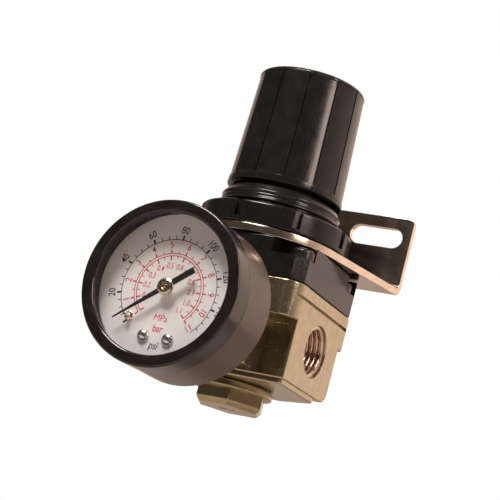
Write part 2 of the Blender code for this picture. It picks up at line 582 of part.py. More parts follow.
def bourdon_parts():
    """The brass socket with its holder block, and the curved tube that straightens under pressure."""
    profile = [(1.3, 34.6), (5.2, 34.6), (5.2, 31.8), (8.0, 31.8), (8.0, 24.2), (4.3, 24.2),
               (4.0, 23.2), (4.0, 14.0), (3.5, 13.5), (1.3, 13.5)]
    socket = turned("gauge_socket", profile, BRASS, forward=True, ring=True)
    corner = 7.0 / math.cos(math.pi / 6)
    flats = prism("socket_hexagon", arc(0, 0, corner, 0, 300, 6), 24, 32, turn=(90, 0, 0))
    fuse(flats, rod("socket_ends", 6, 12, 37, axis="-Y"))
    boolean(socket, "INTERSECT", [flats])
    block = box("holder_block", (-4.0, -36.9, -12.5), (4.0, -34.3, 3.5))
    foot = box("holder_foot", (-9.2, -41.2, -15.3), (-5.5, -34.3, -13.0))
    bridge = box("holder_bridge", (-9.2, -36.9, -14.6), (0.0, -34.3, -11.4))
    fuse(socket, block, foot, bridge)
    cut(socket, rod("socket_passage", 1.3, 12, 35.5, axis="-Y", sides=SMALL))
    points = []
    for k in range(37):
        x, z = clock(14.5, 217 + (455 - 217) * k / 36)
        points.append((x, -40.0, z))
    wire_object("bourdon_tube", points, 1.3, BRASS)
    return socket


regulator_body()
bonnet()
bonnet_screws()
mounting_bracket()
setting_nut()
knob()
adjusting_parts()
diaphragm_parts()
valve_parts()
gauge_shell()
gauge_dial()
pointer()
gauge_movement()
bourdon_parts()
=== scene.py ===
"""Looks of an air pressure regulator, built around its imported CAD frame.

Shapes are drawn in millimetres about the point where the port axis (X) meets the knob axis (Z),
which is worked out from the frame. They are then carried to that point in metres. The gauge looks
along -Y.
"""
import math

import bmesh
import bpy
from mathutils import Matrix, Vector

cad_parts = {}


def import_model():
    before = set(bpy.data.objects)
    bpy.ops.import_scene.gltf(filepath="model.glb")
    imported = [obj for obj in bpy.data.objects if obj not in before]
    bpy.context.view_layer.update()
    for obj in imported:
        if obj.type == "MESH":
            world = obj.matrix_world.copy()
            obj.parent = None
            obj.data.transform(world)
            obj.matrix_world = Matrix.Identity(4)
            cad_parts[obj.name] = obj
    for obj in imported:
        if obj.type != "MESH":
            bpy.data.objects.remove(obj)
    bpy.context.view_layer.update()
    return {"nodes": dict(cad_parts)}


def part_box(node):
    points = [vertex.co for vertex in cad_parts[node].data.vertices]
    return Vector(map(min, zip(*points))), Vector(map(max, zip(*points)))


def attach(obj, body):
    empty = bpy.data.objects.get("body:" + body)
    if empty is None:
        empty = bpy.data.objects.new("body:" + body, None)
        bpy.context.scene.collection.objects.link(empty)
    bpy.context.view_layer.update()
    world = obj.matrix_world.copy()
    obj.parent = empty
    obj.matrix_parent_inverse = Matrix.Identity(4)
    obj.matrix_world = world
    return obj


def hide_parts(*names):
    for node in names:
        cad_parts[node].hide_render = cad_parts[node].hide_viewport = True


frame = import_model()
scene = bpy.context.scene
MM = 0.001


# ---------------------------------------------------------------- places, from the frame

def middle(node):
    low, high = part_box(node)
    return (low + high) / 2


CROSSING = Vector((middle("knob").x, middle("knob").y, middle("gauge_bezel").z))


def span(node):
    """Lowest and highest corner of a CAD node, in millimetres from the crossing of the axes."""
    low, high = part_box(node)
    return (low - CROSSING) / MM, (high - CROSSING) / MM


body_low, body_high = span("body")
bonnet_high = span("bonnet")[1]
plate_low, plate_high = span("mounting_bracket")
nut_low, nut_high = span("setting_nut")
knob_low, knob_high = span("knob")
guide_low, guide_high = span("valve_guide")
case_low, case_high = span("gauge_case")
bezel_low, bezel_high = span("gauge_bezel")
dial_low, dial_high = span("gauge_dial")
lens_low, lens_high = span("gauge_lens")
gasket_low, gasket_high = span("lens_gasket")

HALF = body_high.x                        # half of the width across the ports
FLANGE_FRONT, FLANGE_BACK = -20.0, 17.9
FLANGE_BOTTOM, FLANGE_TOP = 4.3, 13.5
PAD_FRONT, PAD_BACK, PAD_BOTTOM = -15.6, 14.4, -10.8
POCKET_INNER, POCKET_MIDDLE, POCKET_OUTER = 10.5, 15.4, 19.4   # along X, in each corner of the pads
POCKET_OUTER_LOW = 18.1                   # where the pocket's lower step ends
POCKET_WALL = 9.7                         # the pocket's inner wall, from the port axis
POCKET_STEP = PAD_BOTTOM + 2.4
PORT_END = 19.3                           # where the port's thread ends
SCREW_X, SCREW_Y = [abs(c) for c in ((middle("bonnet_screw_4") - CROSSING) / MM)[:2]]
SCREW_HOLE = 2.05
COVER_TOP = 23.8
NECK, NECK_TOP = 16.5, 38.3
DIAL_FACE = -dial_low.y
DIAL_START, DIAL_SWEEP, DIAL_BAR = -135.2, 272.0, 11.0         # degrees clockwise from up, and bar
PSI_PER_BAR = 14.5
POINTER_ANGLE = -129.0                    # where the pointer rests
INK_LOW, INK_THICK = DIAL_FACE - 0.01, 0.03
PRINT_DROP = -0.3                         # the scales are printed a little low on the dial


# ---------------------------------------------------------------- meshes

def skin(bm, first, second):
    """Faces between two closed loops of vertices, either of which may be one point."""
    if len(first) == 1 and len(second) == 1:
        return
    count = max(len(first), len(second))
    for k in range(count):
        n = (k + 1) % count
        corners = [first[k % len(first)], first[n % len(first)],
                   second[n % len(second)], second[k % len(second)]]
        bm.faces.new(list(dict.fromkeys(corners)))


def facing(bm, axis):
    """What is drawn about Z, turned to another axis. Outlines are (y, z) for X and (x, z) for -Y."""
    if axis == "X":
        turn = Matrix(((0, 0, 1), (1, 0, 0), (0, 1, 0)))
    elif axis == "-Y":
        turn = Matrix(((1, 0, 0), (0, 0, -1), (0, 1, 0)))
    else:
        return bm
    bmesh.ops.transform(bm, matrix=turn.to_4x4(), verts=bm.verts)
    return bm


def lofted(rings, axis="Z", closed=False):
    """A surface through loops of points, closed on itself or ending in single points or flat ends."""
    bm = bmesh.new()
    loops = [[bm.verts.new(p) for p in ring] for ring in rings]
    for first, second in zip(loops, loops[1:]):
        skin(bm, first, second)
    if closed:
        skin(bm, loops[-1], loops[0])
    else:
        for loop in (loops[0], loops[-1]):
            if len(loop) > 1:
                bm.faces.new(loop)
    bmesh.ops.recalc_face_normals(bm, faces=bm.faces)
    return facing(bm, axis)


def circle(radius, height, steps):
    """A ring of points at a height, or one point where the radius is nothing."""
    if radius == 0:
        return [(0, 0, height)]
    return [(radius * math.cos(math.tau * k / steps), radius * math.sin(math.tau * k / steps), height)
            for k in range(steps)]


def lathe(profile, axis="Z", ring=False, steps=128):
    """A (radius, height) profile turned about an axis."""
    return lofted([circle(r, h, steps) for r, h in profile], axis, ring)


def drum(radius, low, high, axis="Z", steps=128):
    """A plain solid cylinder."""
    return lathe([(0, high), (radius, high), (radius, low), (0, low)], axis, steps=steps)


def prism(outline, low, high, axis="Z"):
    return lofted([[(x, y, h) for x, y in outline] for h in (low, high)], axis)


def block(low, high):
    outline = [(low[0], low[1]), (high[0], low[1]), (high[0], high[1]), (low[0], high[1])]
    return prism(outline, low[2], high[2])


def rounded(corners, closed=True, steps=6):
    """Points of an outline whose corners (x, y, radius) become arcs."""
    points = []
    for i, (x, y, radius) in enumerate(corners):
        if radius == 0 or (not closed and i in (0, len(corners) - 1)):
            points.append((x, y))
            continue
        corner = Vector((x, y))
        before = (Vector(corners[i - 1][:2]) - corner).normalized()
        after = (Vector(corners[(i + 1) % len(corners)][:2]) - corner).normalized()
        half = before.angle(after) / 2
        centre = corner + (before + after).normalized() * radius / math.sin(half)
        start = corner + before * radius / math.tan(half) - centre
        end = corner + after * radius / math.tan(half) - centre
        sweep = math.atan2(start.cross(end), start.dot(end))
        for k in range(steps + 1):
            a = sweep * k / steps
            points.append((centre.x + start.x * math.cos(a) - start.y * math.sin(a),
                           centre.y + start.x * math.sin(a) + start.y * math.cos(a)))
    return points


def rounded_profile(corners, **options):
    """As above, for a profile that starts and ends where it is given."""
    return rounded(corners, closed=False, **options)


def polygon(sides, radius):
    """Corners of a regular polygon, the first one along the first axis."""
    angles = [math.radians(360 / sides * k) for k in range(sides)]
    return [(radius * math.cos(a), radius * math.sin(a)) for a in angles]


def working(source):
    """A bmesh as an object that modifiers can work on. An object is passed on as it is."""
    if isinstance(source, bpy.types.Object):
        return source
    mesh = bpy.data.meshes.new("working")
    source.to_mesh(mesh)
    source.free()
    obj = bpy.data.objects.new("working", mesh)
    scene.collection.objects.link(obj)
    return obj


def as_bmesh(obj):
    """An object's mesh, taken out of the scene to be worked on."""
    bm = bmesh.new()
    bm.from_mesh(obj.data)
    bpy.data.objects.remove(obj)
    return bm


def applied(obj):
    """The object with its modifiers made part of its mesh."""
    bpy.context.view_layer.update()
    mesh = bpy.data.meshes.new_from_object(obj.evaluated_get(bpy.context.evaluated_depsgraph_get()))
    obj.modifiers.clear()
    obj.data = mesh
    return obj


def combined(obj, operation, sources):
    """One object changed by others, which are used up."""
    others = [working(source) for source in sources]
    for other in others:
        step = obj.modifiers.new(operation, "BOOLEAN")
        step.operation, step.solver, step.object = operation, "EXACT", other
    applied(obj)
    for other in others:
        bpy.data.objects.remove(other)
    return obj


def cut(obj, *sources):
    return combined(obj, "DIFFERENCE", sources)


def fuse(obj, *sources):
    return combined(obj, "UNION", sources)


def common(obj, source):
    return combined(obj, "INTERSECT", [source])


def softened(source, width, segments=3, angle=30):
    """An object whose edges, where its faces meet at more than an angle, are rounded."""
    obj = working(source)
    bevel = obj.modifiers.new("soften", "BEVEL")
    bevel.width, bevel.segments = width, segments
    bevel.limit_method, bevel.angle_limit = "ANGLE", math.radians(angle)
    bevel.use_clamp_overlap = False
    return applied(obj)


def softened_block(low, high, width):
    """A box with rounded edges, as a bmesh."""
    return as_bmesh(softened(block(low, high), width))


def welded(sources):
    """Several meshes in one, each kept as its own shell."""
    bm = bmesh.new()
    for source in sources:
        mesh = bpy.data.meshes.new("shell")
        source.to_mesh(mesh)
        source.free()
        bm.from_mesh(mesh)
        bpy.data.meshes.remove(mesh)
    return bm


def moved(bm, offset=(0, 0, 0), turn=0.0, axis="Z"):
    """Turned about the given axis through the crossing point, and then shifted."""
    if turn:
        bmesh.ops.rotate(bm, matrix=Matrix.Rotation(math.radians(turn), 3, axis), verts=bm.verts)
    bmesh.ops.translate(bm, vec=offset, verts=bm.verts)
    return bm


def mirrored(bm):
    """The same shape on the other side of the knob axis."""
    bmesh.ops.scale(bm, vec=(-1, 1, 1), verts=bm.verts)
    bmesh.ops.reverse_faces(bm, faces=bm.faces)
    return bm


def piece(name, source, look, body, nodes=(), sharp=35):
    """A finished piece, carried to the frame. It rides on a body and stands for the CAD nodes given."""
    obj = working(source)
    obj.name = obj.data.name = name
    obj.data.transform(Matrix.Translation(CROSSING) @ Matrix.Scale(MM, 4))
    obj.data.shade_smooth()
    obj.data.set_sharp_from_angle(angle=math.radians(sharp))
    obj.data.materials.clear()
    obj.data.materials.append(look)
    normals = obj.modifiers.new("normals", "WEIGHTED_NORMAL")
    normals.keep_sharp = True
    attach(obj, body)
    if nodes:
        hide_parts(*nodes)


# ---------------------------------------------------------------- finishes

def add(tree, kind, **values):
    """A shader node whose inputs are given by name, with _ for a space."""
    made = tree.nodes.new("ShaderNode" + kind)
    for name, value in values.items():
        socket = made.inputs[name.replace("_", " ")]
        if isinstance(value, bpy.types.NodeSocket):
            tree.links.new(value, socket)
        else:
            socket.default_value = value
    return made


def noise(tree, per_mm, detail=3.0, stretch=(1, 1, 1)):
    """Noise in the object's own metres, with about per_mm features in a millimetre."""
    place = add(tree, "TexCoord").outputs["Object"]
    scaled = add(tree, "Mapping", Vector=place, Scale=stretch)
    made = add(tree, "TexNoise", Vector=scaled.outputs["Vector"], Scale=per_mm / MM, Detail=detail,
               Roughness=0.55)
    return made.outputs["Fac"]


def spread(tree, value, low, high, start=0.3, end=0.7):
    """A value between start and end, spread over the range from low to high."""
    made = add(tree, "MapRange", Value=value, From_Min=start, From_Max=end, To_Min=low, To_Max=high)
    return made.outputs["Result"]


def blended(tree, share, first, second):
    """The first colour where share is 0 and the second where it is 1."""
    made = tree.nodes.new("ShaderNodeMix")
    made.data_type = "RGBA"
    tree.links.new(share, made.inputs[0])
    for socket, colour in ((made.inputs[6], first), (made.inputs[7], second)):
        if isinstance(colour, bpy.types.NodeSocket):
            tree.links.new(colour, socket)
        else:
            socket.default_value = (*colour, 1)
    return made.outputs[2]


def edges(tree, radius):
    """About 1 along sharp edges and 0 on open faces, broken up by noise: the mask for the painted edge
    highlight.
    """
    soft = add(tree, "Bevel", Radius=radius * MM)
    soft.samples = 4
    flat = add(tree, "NewGeometry")
    dot = tree.nodes.new("ShaderNodeVectorMath")
    dot.operation = "DOT_PRODUCT"
    tree.links.new(soft.outputs["Normal"], dot.inputs[0])
    tree.links.new(flat.outputs["Normal"], dot.inputs[1])
    near = spread(tree, dot.outputs["Value"], 1.0, 0.0, 0.8, 0.985)
    times = tree.nodes.new("ShaderNodeMath")
    times.operation = "MULTIPLY"
    tree.links.new(near, times.inputs[0])
    tree.links.new(spread(tree, noise(tree, 1.3), 0.25, 1.0), times.inputs[1])
    return times.outputs["Value"]


def finish(name, colour, roughness, metallic=0.0, mottle=0.12, mottle_scale=0.5, grain=4.0, bump=0.02,
           rough_spread=0.06, stretch=(1, 1, 1), edge_highlight=None, coat=0.0):
    """A procedural surface: mottled colour, uneven roughness, fine relief and, where asked, a painted
    highlight: a lighter colour along sharp edges.

    Scales are features per millimetre, and bump is the height of the relief in millimetres.
    """
    look = bpy.data.materials.new(name)
    look.use_nodes = True
    tree = look.node_tree
    shader = tree.nodes["Principled BSDF"]
    shader.inputs["Metallic"].default_value = metallic
    shader.inputs["IOR"].default_value = 1.5
    shader.inputs["Coat Weight"].default_value = coat
    shader.inputs["Coat Roughness"].default_value = 0.08
    low = [c * (1 - mottle) for c in colour]
    high = [min(1, c * (1 + mottle)) for c in colour]
    paint = blended(tree, spread(tree, noise(tree, mottle_scale), 0, 1), low, high)
    # painted highlight: a lighter colour laid along sharp edges, standing in for light caught on small
    # rounded edges
    if edge_highlight:
        paint = blended(tree, edges(tree, 0.35), paint, edge_highlight)
    tree.links.new(paint, shader.inputs["Base Color"])
    fine = noise(tree, grain, 4.0, stretch)
    rough = spread(tree, fine, max(0.02, roughness - rough_spread), roughness + rough_spread)
    tree.links.new(rough, shader.inputs["Roughness"])
    relief = add(tree, "Bump", Strength=1.0, Distance=bump * MM, Height=fine)
    tree.links.new(relief.outputs["Normal"], shader.inputs["Normal"])
    return look


def clear_glass(name):
    """A polished window: mostly open, with reflections off its outer faces that grow at flat angles."""
    look = bpy.data.materials.new(name)
    look.use_nodes = True
    tree = look.node_tree
    tree.nodes.remove(tree.nodes["Principled BSDF"])
    through = add(tree, "BsdfTransparent", Color=(0.97, 0.98, 0.98, 1))
    smear = spread(tree, noise(tree, 0.12), 0.02, 0.05)
    shine = add(tree, "BsdfAnisotropic", Color=(1, 1, 1, 1), Roughness=smear)
    outward = spread(tree, add(tree, "NewGeometry").outputs["Backfacing"], 1.0, 0.0, 0.0, 1.0)
    share = tree.nodes.new("ShaderNodeMath")
    share.operation = "MULTIPLY"
    tree.links.new(add(tree, "Fresnel", IOR=1.38).outputs["Fac"], share.inputs[0])
    tree.links.new(outward, share.inputs[1])
    mix = add(tree, "MixShader", Fac=share.outputs["Value"])
    tree.links.new(through.outputs["BSDF"], mix.inputs[1])
    tree.links.new(shine.outputs["BSDF"], mix.inputs[2])
    tree.links.new(mix.outputs["Shader"], tree.nodes["Material Output"].inputs["Surface"])
    return look


# PAINT, RESIN, KNOB, ZINC and DARK_STEEL take a lighter edge colour: a painted highlight along their sharp
# edges.
PAINT = finish("champagne_paint", (0.455, 0.395, 0.263), 0.22, metallic=0.92, mottle=0.10,
               mottle_scale=0.35, grain=2.2, bump=0.0022, edge_highlight=(0.70, 0.62, 0.44))
THREAD = finish("cut_thread", (0.66, 0.50, 0.40), 0.2, metallic=1.0, mottle=0.2, mottle_scale=1.2,
                grain=5.0, bump=0.005)
RESIN = finish("black_resin", (0.0105, 0.0095, 0.009), 0.2, mottle=0.35, mottle_scale=0.3, grain=1.4,
               bump=0.0012, edge_highlight=(0.035, 0.028, 0.025))
GLOSS = finish("gloss_resin", (0.014, 0.0115, 0.0105), 0.14, mottle=0.3, mottle_scale=0.25, grain=1.2,
               bump=0.003, rough_spread=0.04)
KNOB = finish("knob_resin", (0.0115, 0.0108, 0.0104), 0.18, mottle=0.3, mottle_scale=0.25, grain=2.0,
              bump=0.003, rough_spread=0.05, stretch=(1, 1, 0.15), edge_highlight=(0.03, 0.024, 0.021))
ENAMEL = finish("case_enamel", (0.058, 0.033, 0.025), 0.33, mottle=0.12, mottle_scale=0.3, grain=2.2,
                bump=0.004, coat=0.15)
ZINC = finish("zinc_plating", (0.80, 0.69, 0.57), 0.19, metallic=1.0, mottle=0.12, mottle_scale=0.15,
              grain=0.7, bump=0.0006, rough_spread=0.03, edge_highlight=(0.86, 0.76, 0.60))
STEEL = finish("bright_steel", (0.80, 0.79, 0.78), 0.24, metallic=1.0, mottle=0.12, mottle_scale=1.5,
               grain=4.0, bump=0.0015)
DARK_STEEL = finish("oxide_steel", (0.10, 0.09, 0.085), 0.26, metallic=0.9, mottle=0.25,
                    mottle_scale=1.0, grain=5.0, bump=0.004, edge_highlight=(0.4, 0.36, 0.33))
BRASS = finish("machined_brass", (0.68, 0.57, 0.42), 0.24, metallic=1.0, mottle=0.10, mottle_scale=1.0,
               grain=3.0, bump=0.0012)
PIN = finish("plated_pin", (0.86, 0.74, 0.66), 0.2, metallic=1.0, mottle=0.1, mottle_scale=1.0,
             grain=5.0, bump=0.003)
OLIVE = finish("guide_plating", (0.42, 0.34, 0.20), 0.24, metallic=0.92, mottle=0.10,
               mottle_scale=0.35, grain=2.2, bump=0.0005, rough_spread=0.03)
RUBBER = finish("seal_rubber", (0.022, 0.022, 0.023), 0.65, mottle=0.2, grain=3.0, bump=0.01)
DIAL = finish("dial_enamel", (0.88, 0.825, 0.815), 0.5, mottle=0.02, mottle_scale=0.2, bump=0.003)
INK = finish("black_ink", (0.02, 0.018, 0.018), 0.5, mottle=0.2, grain=5.0, bump=0.003)
RED_INK = finish("red_ink", (0.62, 0.03, 0.05), 0.5, mottle=0.1, grain=5.0, bump=0.003)
BLADE = finish("pointer_paint", (0.018, 0.016, 0.016), 0.35, mottle=0.2, bump=0.004)
GLASS = clear_glass("window")
PALE_FLOOR = finish("pale_floor", (0.48, 0.45, 0.42), 0.6, mottle=0.01, mottle_scale=0.02, grain=0.5,
                    bump=0.01)


# ---------------------------------------------------------------- body

def thread(root, crest, wall, low, high, pitch, axis="Z", inside=True):
    """A sleeve with a helical thread on its inner side, or on its outer side with run-outs."""
    steps, per_pitch, flatness = 96, 10, 0.7
    rows = round((high - low) / pitch * per_pitch)
    rings = []
    for row in range(rows + 1):
        z = low + (high - low) * row / rows
        fade = 1 if inside else min(1, row / per_pitch, (rows - row) / per_pitch)
        ring = []
        for k in range(steps):
            phase = (z / pitch - k / steps) % 1
            height = (0.5 + 0.5 * math.cos(math.tau * phase)) ** flatness * fade
            r = root + (crest - root) * height
            a = math.tau * k / steps
            ring.append((r * math.cos(a), r * math.sin(a), z))
        rings.append(ring)
    rings += [circle(wall, high, steps), circle(wall, low, steps)]
    return lofted(rings, axis, closed=True)


def screw_places():
    """X and Y of the four bonnet screws."""
    return [(x, y) for x in (-SCREW_X, SCREW_X) for y in (-SCREW_Y, SCREW_Y)]


def body_flange():
    """The broad slab that the bonnet sits on."""
    front, rear = 5, 1.8
    outline = rounded([(-HALF, FLANGE_FRONT, front), (HALF, FLANGE_FRONT, front),
                       (HALF, FLANGE_BACK, rear), (-HALF, FLANGE_BACK, rear)], steps=10)
    return softened(prism(outline, FLANGE_BOTTOM, FLANGE_TOP), 0.45)


def pocket_outline(side, face, edge, outer):
    """One corner pocket seen from above. Its outer wall slants back from the edge."""
    corners = [(POCKET_INNER, POCKET_WALL), (POCKET_MIDDLE, POCKET_WALL), (outer, edge - 0.05),
               (outer, edge + 2), (POCKET_INNER, edge + 2)]
    return [(side * x, face * y) for x, y in corners]


def port_pads():
    """The block between the two port faces, with a stepped pocket in each of its corners."""
    end, top = HALF - 0.02, FLANGE_BOTTOM + 2
    outline = rounded([(PAD_FRONT, PAD_BOTTOM, 0.4), (PAD_BACK, PAD_BOTTOM, 3.2), (PAD_BACK, top, 0),
                       (PAD_FRONT, top, 0)], steps=8)
    pads = softened(prism(outline, -end, end, "X"), 0.35)
    for side in (-1, 1):
        for face, edge in ((-1, PAD_FRONT), (1, PAD_BACK)):
            upper = pocket_outline(side, face, abs(edge), POCKET_OUTER)
            lower = pocket_outline(side, face, abs(edge), POCKET_OUTER_LOW)
            cut(pads, softened(prism(upper, POCKET_STEP, FLANGE_BOTTOM - 0.1), 0.25),
                softened(prism(lower, PAD_BOTTOM + 0.4, POCKET_STEP + 0.5), 0.2))
    return pads


def foot_slab():
    """The thin slab under the pads, narrower at its rear."""
    half, front, shoulder, rear_half, rear = 19.5, -15.1, 7.6, 8, 13.8
    outline = rounded([(-half, front, 0.8), (half, front, 0.8), (half, shoulder, 2), (rear_half, rear, 2),
                       (-rear_half, rear, 2), (-half, shoulder, 2)])
    return softened(prism(outline, body_low.z, PAD_BOTTOM + 0.5), 0.4)


def gauge_boss():
    """The round boss that runs from the gauge's neck to the rear port."""
    radius, front, rear = 9.0, 23, -18
    profile = rounded_profile([(0, front, 0), (radius, front, 0.5), (radius, rear, 0.5), (0, rear, 0)])
    return lathe(profile, "-Y")


def gauge_pad():
    """The square pad on the front of the port pads, behind the gauge."""
    half, foot = 10.5, -9.5
    low = (-half, FLANGE_FRONT + 0.45, foot)
    high = (half, PAD_FRONT + 2, FLANGE_BOTTOM + 1)
    return softened_block(low, high, 0.5)


def port_cutters(side):
    """The bore of one port with its chamfered mouth, and a shallow groove across the flange's end."""
    beyond, mouth, bore, floor = HALF + 1, 7.6, 6.62, 9.0
    hole = lathe(rounded_profile([(0, beyond, 0), (mouth, beyond, 0), (6.85, HALF - 0.05, 0.2),
                                  (bore, PORT_END, 0), (bore, floor, 0), (0, floor, 0)]), "X")
    groove = softened_block((18.9, FLANGE_FRONT + 0.6, 9.7), (beyond, FLANGE_BACK - 1.2, 10.6), 0.15)
    return [hole, groove] if side > 0 else [mirrored(hole), mirrored(groove)]


def chamber_cutters():
    """What is hollow along the knob axis and the gauge axis, from the bonnet's seat downwards."""
    bonnet_seat = drum(15.6, 11.2, 14)
    outlet_chamber = drum(12.5, 8.4, 11.4)
    outlet_well = drum(6.5, 1.5, 8.6)
    valve_orifice = drum(3.6, -0.7, 1.7)
    valve_chamber = drum(8, -13, -0.5)
    lower_passage = moved(drum(3, -10, 10, "X"), (0, 0, -4))
    outlet_passage = moved(drum(2.4, 4, 10, "X"), (0, 0, 3.6))
    gauge_bore = lathe([(0, 24), (5.4, 24), (4.6, 22), (4.6, 9.6), (0, 9.6)], "-Y")
    rear_bore = lathe([(0, -9.6), (4.6, -9.6), (4.6, -17.2), (5.3, -18.4), (0, -18.4)], "-Y")
    gauge_passage = moved(drum(1.1, -10, 10, "-Y", 24), (0, 0, 3))
    return [bonnet_seat, outlet_chamber, outlet_well, valve_orifice, valve_chamber, lower_passage,
            outlet_passage, gauge_bore, rear_bore, gauge_passage]


def body_casting():
    """The painted casting: flange, port pads, foot slab, gauge bosses, chambers and bores."""
    casting = body_flange()
    pads = port_pads()
    foot = foot_slab()
    fuse(casting, pads, foot, gauge_boss(), gauge_pad())
    for side in (-1, 1):
        cut(casting, *port_cutters(side))
    cut(casting, *chamber_cutters())
    for x, y in screw_places():
        cut(casting, moved(drum(SCREW_HOLE, 5.6, 14, steps=32), (x, y, 0)))
    piece("body_casting", casting, PAINT, "housing", ["body"])


def port_threads():
    """The threads in both ports, as sleeves of their own."""
    crest, root, wall, low, pitch = 5.75, 6.5, 6.61, 9.02, 1.34
    for side, name in ((1, "outlet"), (-1, "inlet")):
        sleeve = thread(root, crest, wall, low, PORT_END, pitch, "X")
        if side < 0:
            mirrored(sleeve)
        piece(f"{name}_port_thread", sleeve, THREAD, "housing", sharp=60)


def bottom_plug():
    """The valve guide: grooved barrel, round collar and a chamfered hexagon head with a dimple."""
    low, collar, barrel, across_flats = guide_low.z, guide_high.x, 7.6, 17.0
    stem, seal, spring_well, groove = 1.8, 2.6, 4.2, 6.4
    head_top, collar_low, collar_top, barrel_top = -14.0, -14.5, -12.5, -7.0
    profile = rounded_profile([
        (0, -14.2, 0), (stem, -14.2, 0), (stem, -13.0, 0), (seal, -13.0, 0), (seal, -11.9, 0),
        (stem, -11.9, 0), (stem, -11.5, 0), (spring_well, -11.5, 0), (spring_well, barrel_top, 0.1),
        (barrel - 0.5, barrel_top, 0.3), (barrel, barrel_top - 0.5, 0), (barrel, -9.6, 0),
        (groove, -9.6, 0), (groove, -11.2, 0), (barrel, -11.2, 0), (barrel, collar_top, 0),
        (collar, collar_top, 0.35), (collar, collar_low, 0.45), (9.2, collar_low, 0), (0, collar_low, 0)])
    plug = working(lathe(profile, steps=160))
    corner, chamfer = across_flats / math.sqrt(3), 1.2
    head = lathe([(0, head_top), (corner, head_top), (corner, low + chamfer), (corner - chamfer, low),
                  (0, low)], steps=6)
    hexagon = working(moved(head, turn=-68))
    softened(hexagon, 0.28, 4, 25)
    fuse(plug, hexagon)
    profile = rounded_profile([(0, 0.55, 0), (1.0, 0.5, 0.3), (2.3, -0.3, 0), (0, -0.3, 0)])
    dimple = lathe(profile, steps=64)
    bmesh.ops.scale(dimple, vec=(1.35, 0.8, 1), verts=dimple.verts)
    cut(plug, moved(dimple, (0, 0, low)))
    piece("bottom_plug", plug, OLIVE, "housing", ["valve_guide"])


def rear_plug():
    """The plug of the rear gauge port, with a hexagon socket."""
    low, high = span("rear_port_plug")
    barrel = rounded_profile([(0, -low.y, 0), (4.0, -low.y, 0.2), (4.0, -high.y, 0.5), (0, -high.y, 0)])
    plug = working(lathe(barrel, "-Y", steps=96))
    cut(plug, prism(polygon(6, 2.9), -high.y - 1, -13, "-Y"))
    piece("rear_plug", plug, BRASS, "housing", ["rear_port_plug"])


# ---------------------------------------------------------------- bonnet, bracket and knob

def cover_outline():
    """The cover's flange from above: long chamfers on its front corners and shorter ones on its rear."""
    half, front, rear = bonnet_high.x, 3.0, 2.2
    corners = [(half, front - half), (half, half - rear), (half - rear, half), (rear - half, half),
               (-half, half - rear), (-half, front - half), (front - half, -half), (half - front, -half)]
    return rounded([(x, y, 0.5) for x, y in corners], steps=4)


def cover_tower():
    """The neck under the nut's thread, and the narrower tower inside the knob."""
    tower, top, foot = 12.6, bonnet_high.z, 22.8
    return lathe(rounded_profile([(0, top, 0), (tower, top, 0.6), (tower, NECK_TOP, 0.5),
                                  (NECK - 1.7, NECK_TOP, 0.3), (NECK - 0.35, NECK_TOP - 1.9, 0.4),
                                  (NECK - 0.7, NECK_TOP - 2.8, 0), (NECK - 0.7, foot, 0), (0, foot, 0)]))


def screw_pocket(x, y):
    """Cutters at one screw: its hole, the seat of its head and the way out to the cover's side."""
    floor, above, head, inner = 19.8, 24.5, 3.2, 9.6
    near = x if y > 0 else math.copysign(inner, x)
    low_x, high_x = sorted((near, math.copysign(bonnet_high.x + 1, x)))
    back = y + 3.1 if y > 0 else y
    return [moved(drum(SCREW_HOLE, 13, 21, steps=32), (x, y, 0)),
            moved(drum(head, floor, above, steps=48), (x, y, 0)),
            block((low_x, back - 6.2, floor), (high_x, back, above))]


def bonnet_cover():
    """The black cover: square flange with screw pockets, threaded neck and the tower under the knob."""
    cover = softened(prism(cover_outline(), 13.8, COVER_TOP), 0.35)
    lip = drum(15.2, 13.1, 14.3)
    fuse(cover, cover_tower(), lip)
    spring_well = drum(12.3, 12.0, COVER_TOP)
    nut_well = drum(10.6, COVER_TOP - 1, 43)
    spindle_hole = drum(3.3, 42, 47, steps=48)
    cut(cover, spring_well, nut_well, spindle_hole)
    for side in (-1, 1):
        low_x, high_x = sorted((side * 9.9, side * 11.2))
        fuse(cover, block((low_x, -1.2, COVER_TOP - 0.5), (high_x, 1.2, 42.0)))
    for x, y in screw_places():
        cut(cover, *screw_pocket(x, y))
    vent = moved(drum(0.8, -21, -10, "-Y", 32), (7, 0, 18.5))
    cut(cover, vent)
    piece("bonnet_cover", cover, RESIN, "housing", ["bonnet"])
    neck_thread = thread(NECK - 0.62, NECK, NECK - 0.75, 24.0, NECK_TOP - 2.7, 1.5, inside=False)
    piece("neck_thread", neck_thread, RESIN, "housing", sharp=60)


def bonnet_screws():
    """Four screws with domed heads and crossed slots."""
    shank, head, seat, tip = 1.75, 2.9, 20.1, 5.9
    top = span("bonnet_screw_1")[1].z
    for number in range(1, 5):
        node = f"bonnet_screw_{number}"
        x, y, _ = (middle(node) - CROSSING) / MM
        profile = rounded_profile([(0, top, 0), (2.0, top - 0.1, 0.4), (head, top - 0.8, 0.3),
                                   (head, seat, 0.1), (shank, seat, 0), (shank, tip + 0.5, 0),
                                   (1.2, tip, 0), (0, tip, 0)])
        screw = working(lathe(profile, steps=64))
        for turn in (45, 135):
            cut(screw, moved(block((-1.6, -0.32, top - 1.2), (1.6, 0.32, top + 1)), turn=turn))
        screw.data.transform(Matrix.Translation((x, y, 0)))
        piece(f"cover_screw_{number}", screw, DARK_STEEL, "housing", [node])


def bracket_plan(half, back):
    """The bracket seen from above: a round nose about the neck that widens to the upright."""
    nose, steps, wide_from = 20.3, 72, back - 3
    taper = math.degrees(math.atan2(half - 19.8, wide_from + 5.1))
    arc = [math.radians(180 + taper + (180 - 2 * taper) * k / steps) for k in range(steps + 1)]
    plan = [(nose * math.cos(a), nose * math.sin(a)) for a in arc]
    return plan + [(half, wide_from), (half, back + 1), (-half, back + 1), (-half, wide_from)]


